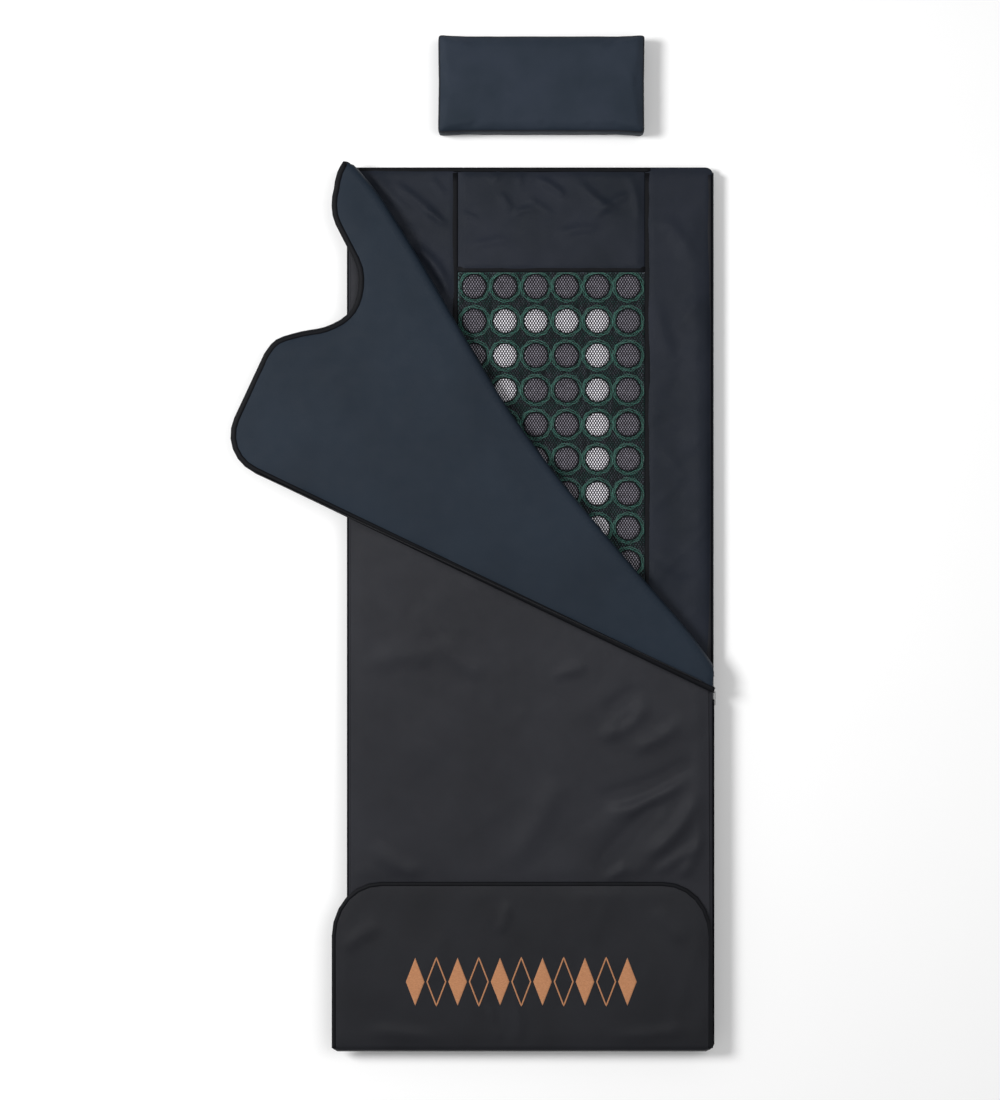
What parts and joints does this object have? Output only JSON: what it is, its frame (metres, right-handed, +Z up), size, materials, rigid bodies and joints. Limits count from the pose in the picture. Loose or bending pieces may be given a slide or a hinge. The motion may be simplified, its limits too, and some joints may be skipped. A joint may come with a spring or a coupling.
{
  "type": "infrared sauna blanket",
  "caption": "Lie-in infrared sauna blanket with a stone-set heated base, a cover folded back on a diagonal, a foot flap, a side zip and a neck pillow.",
  "frame": {"origin": "centre of the base's underside, on the floor", "axes": "+Y towards the head end, +Z up, +X to the side with the zip"},
  "size_m": [0.985, 2.0695, 0.0718],
  "materials": {
    "cover_fabric": "matt coated woven outer fabric, near black",
    "lining_fabric": "satin slate-blue coated lining fabric",
    "binding_tape": "black woven edge tape",
    "zip_tape": "black woven zip tape with nylon teeth",
    "wadding": "white polyester wadding",
    "felt": "grey needled felt",
    "foil": "bright foil",
    "heating_ribbon": "carbon fibre ribbon",
    "mat_fabric": "dark green-grey mat cloth",
    "stone": "smooth ground stone discs, most dark grey, some pale",
    "net": "fine diamond net",
    "moulded_plastic": "fine textured black plastic",
    "contact_metal": "bright",
    "sensor_metal": "plain",
    "zip_metal": "black enamelled zinc",
    "hook_and_loop": "black hook and loop tape",
    "pillow_fabric": "matt slate woven fabric",
    "foam": "cream flexible foam"
  },
  "bodies": {
    "base": {"base_outer_shell": "cover_fabric", "base_insulation_pad": "wadding", "thermal_cutout": "moulded_plastic", "temperature_sensor": "sensor_metal", "base_reflective_foil": "foil", "base_heater_carrier": "felt", "base_heating_ribbon": "heating_ribbon", "base_heat_spreader_felt": "felt", "lining_left_panel": "lining_fabric", "lining_right_panel": "lining_fabric", "lining_head_panel": "lining_fabric", "lining_foot_panel": "lining_fabric", "head_edge_binding": "binding_tape", "mat_tape_left": "binding_tape", "mat_tape_right": "binding_tape", "mat_tape_head": "binding_tape", "stone_mat_backing": "mat_fabric", "stone_mat_net": "net", "left_side_gusset": "cover_fabric", "foot_end_gusset": "cover_fabric", "power_inlet_housing": "moulded_plastic", "power_inlet_contacts": "contact_metal", "lower_cover_shell": "cover_fabric", "lower_cover_padding": "wadding", "lower_cover_lining": "lining_fabric", "lower_cover_heating_ribbon": "heating_ribbon", "cover_fold_strip": "lining_fabric", "zip_tape_base": "zip_tape", "zip_tape_lower_cover": "zip_tape", "cover_loop_strip": "hook_and_loop", "stone_row_01": "stone", "stone_row_02": "stone", "stone_row_03": "stone", "stone_row_04": "stone", "stone_row_05": "stone", "stone_row_06": "stone", "stone_row_07": "stone", "stone_row_08": "stone", "stone_row_09": "stone", "stone_row_10": "stone", "stone_row_11": "stone", "stone_row_12": "stone", "stone_row_13": "stone", "stone_row_14": "stone", "stone_row_15": "stone", "stone_row_16": "stone"},
    "cover_flap": {"flap_shell": "cover_fabric", "flap_lining": "lining_fabric", "flap_padding": "wadding", "flap_heating_ribbon": "heating_ribbon", "flap_edge_binding": "binding_tape", "zip_tape_flap": "zip_tape"},
    "foot_flap": {"foot_flap_outer": "cover_fabric", "foot_flap_padding": "wadding", "foot_flap_binding": "binding_tape", "foot_flap_hook_strip": "hook_and_loop"},
    "zip_slider": {"zip_slider": "zip_metal"},
    "zip_pull": {"zip_pull_tab": "zip_metal"},
    "pillow": {"pillow_cover": "pillow_fabric", "pillow_foam_core": "foam"}
  },
  "joints": [
    {"name": "cover_fold", "type": "hinge", "parent": "base", "child": "cover_flap", "pos_m": [0.375, -0.164, 0.0509], "axis": [-0.5373, 0.8434, 0], "range_deg": [0, 180], "deforming": ["cover_fold_strip"]},
    {"name": "foot_flap_fold", "type": "hinge", "parent": "base", "child": "foot_flap", "pos_m": [0, -0.901, 0.0284], "axis": [1, 0, 0], "range_deg": [0, 180]},
    {"name": "zip_run", "type": "slide", "parent": "base", "child": "zip_slider", "axis": [0, 1, 0], "range_m": [-0.68, 1.04]},
    {"name": "zip_pull_swing", "type": "hinge", "parent": "zip_slider", "child": "zip_pull", "pos_m": [0.37675, -0.17155, 0.02985], "axis": [0, 0, 1], "range_deg": [0, 170]},
    {"name": "pillow_lift", "type": "slide", "parent": "base", "child": "pillow", "axis": [0, 0, 1], "range_m": [0, 0.25]}
  ]
}
